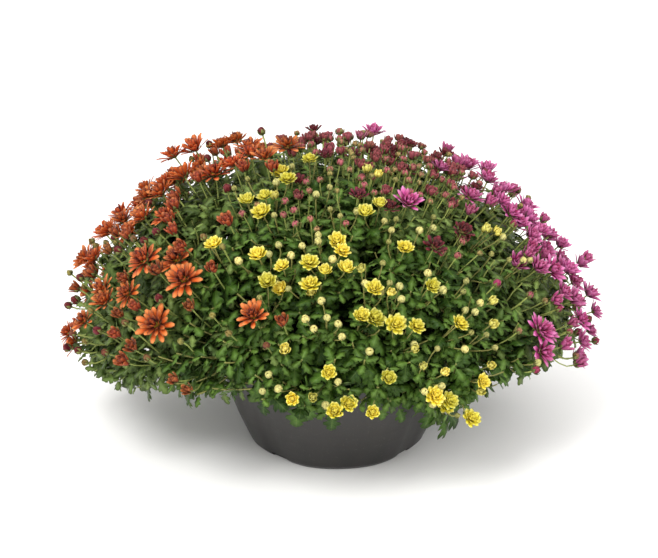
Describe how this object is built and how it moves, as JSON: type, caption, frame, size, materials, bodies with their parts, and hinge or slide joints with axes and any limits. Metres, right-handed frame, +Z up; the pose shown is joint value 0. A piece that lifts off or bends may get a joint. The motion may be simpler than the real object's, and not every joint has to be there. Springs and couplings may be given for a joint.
{
  "type": "pot chrysanthemum",
  "caption": "Broad dome of bushy chrysanthemums in bronze, yellow, magenta and burgundy, grown together in a low lobed plastic bowl of potting mix.",
  "frame": {"origin": "centre of the bowl's flat foot, on the surface it stands on", "axes": "+Z up, -Y to the front, +X to the right seen from the front"},
  "size_m": [0.6894, 0.5515, 0.3818],
  "materials": {
    "bowl_plastic": "matte moulded charcoal",
    "potting_mix": "moist peat and bark",
    "woody_stem": "rough green-brown bark",
    "foliage": "soft matte leaf",
    "bronze_petals": "satin petal",
    "yellow_petals": "satin petal",
    "magenta_petals": "satin petal",
    "burgundy_petals": "satin petal"
  },
  "bodies": {
    "root": {"bowl": "bowl_plastic", "potting_mix": "potting_mix", "bronze_crown": "woody_stem", "bronze_branch_1": "foliage", "bronze_spray_1": "bronze_petals", "bronze_branch_2": "foliage", "bronze_spray_2": "bronze_petals", "bronze_branch_3": "foliage", "bronze_spray_3": "bronze_petals", "bronze_branch_4": "foliage", "bronze_spray_4": "bronze_petals", "bronze_branch_5": "foliage", "bronze_spray_5": "bronze_petals", "bronze_branch_6": "foliage", "bronze_spray_6": "bronze_petals", "bronze_branch_7": "foliage", "bronze_spray_7": "bronze_petals", "yellow_crown": "woody_stem", "yellow_branch_1": "foliage", "yellow_spray_1": "yellow_petals", "yellow_branch_2": "foliage", "yellow_spray_2": "yellow_petals", "yellow_branch_3": "foliage", "yellow_spray_3": "yellow_petals", "yellow_branch_4": "foliage", "yellow_spray_4": "yellow_petals", "yellow_branch_5": "foliage", "yellow_spray_5": "yellow_petals", "yellow_branch_6": "foliage", "yellow_spray_6": "yellow_petals", "magenta_crown": "woody_stem", "magenta_branch_1": "foliage", "magenta_spray_1": "magenta_petals", "magenta_branch_2": "foliage", "magenta_spray_2": "magenta_petals", "magenta_branch_3": "foliage", "magenta_spray_3": "magenta_petals", "magenta_branch_4": "foliage", "magenta_spray_4": "magenta_petals", "magenta_branch_5": "foliage", "magenta_spray_5": "magenta_petals", "magenta_branch_6": "foliage", "magenta_spray_6": "magenta_petals", "burgundy_crown": "woody_stem", "burgundy_branch_1": "foliage", "burgundy_spray_1": "burgundy_petals", "burgundy_branch_2": "foliage", "burgundy_spray_2": "burgundy_petals", "burgundy_branch_3": "foliage", "burgundy_spray_3": "burgundy_petals", "burgundy_branch_4": "foliage", "burgundy_spray_4": "burgundy_petals", "burgundy_branch_5": "foliage", "burgundy_spray_5": "burgundy_petals", "burgundy_branch_6": "foliage", "burgundy_spray_6": "burgundy_petals", "burgundy_branch_7": "foliage", "burgundy_spray_7": "burgundy_petals", "burgundy_branch_8": "foliage", "burgundy_spray_8": "burgundy_petals"}
  },
  "joints": []
}
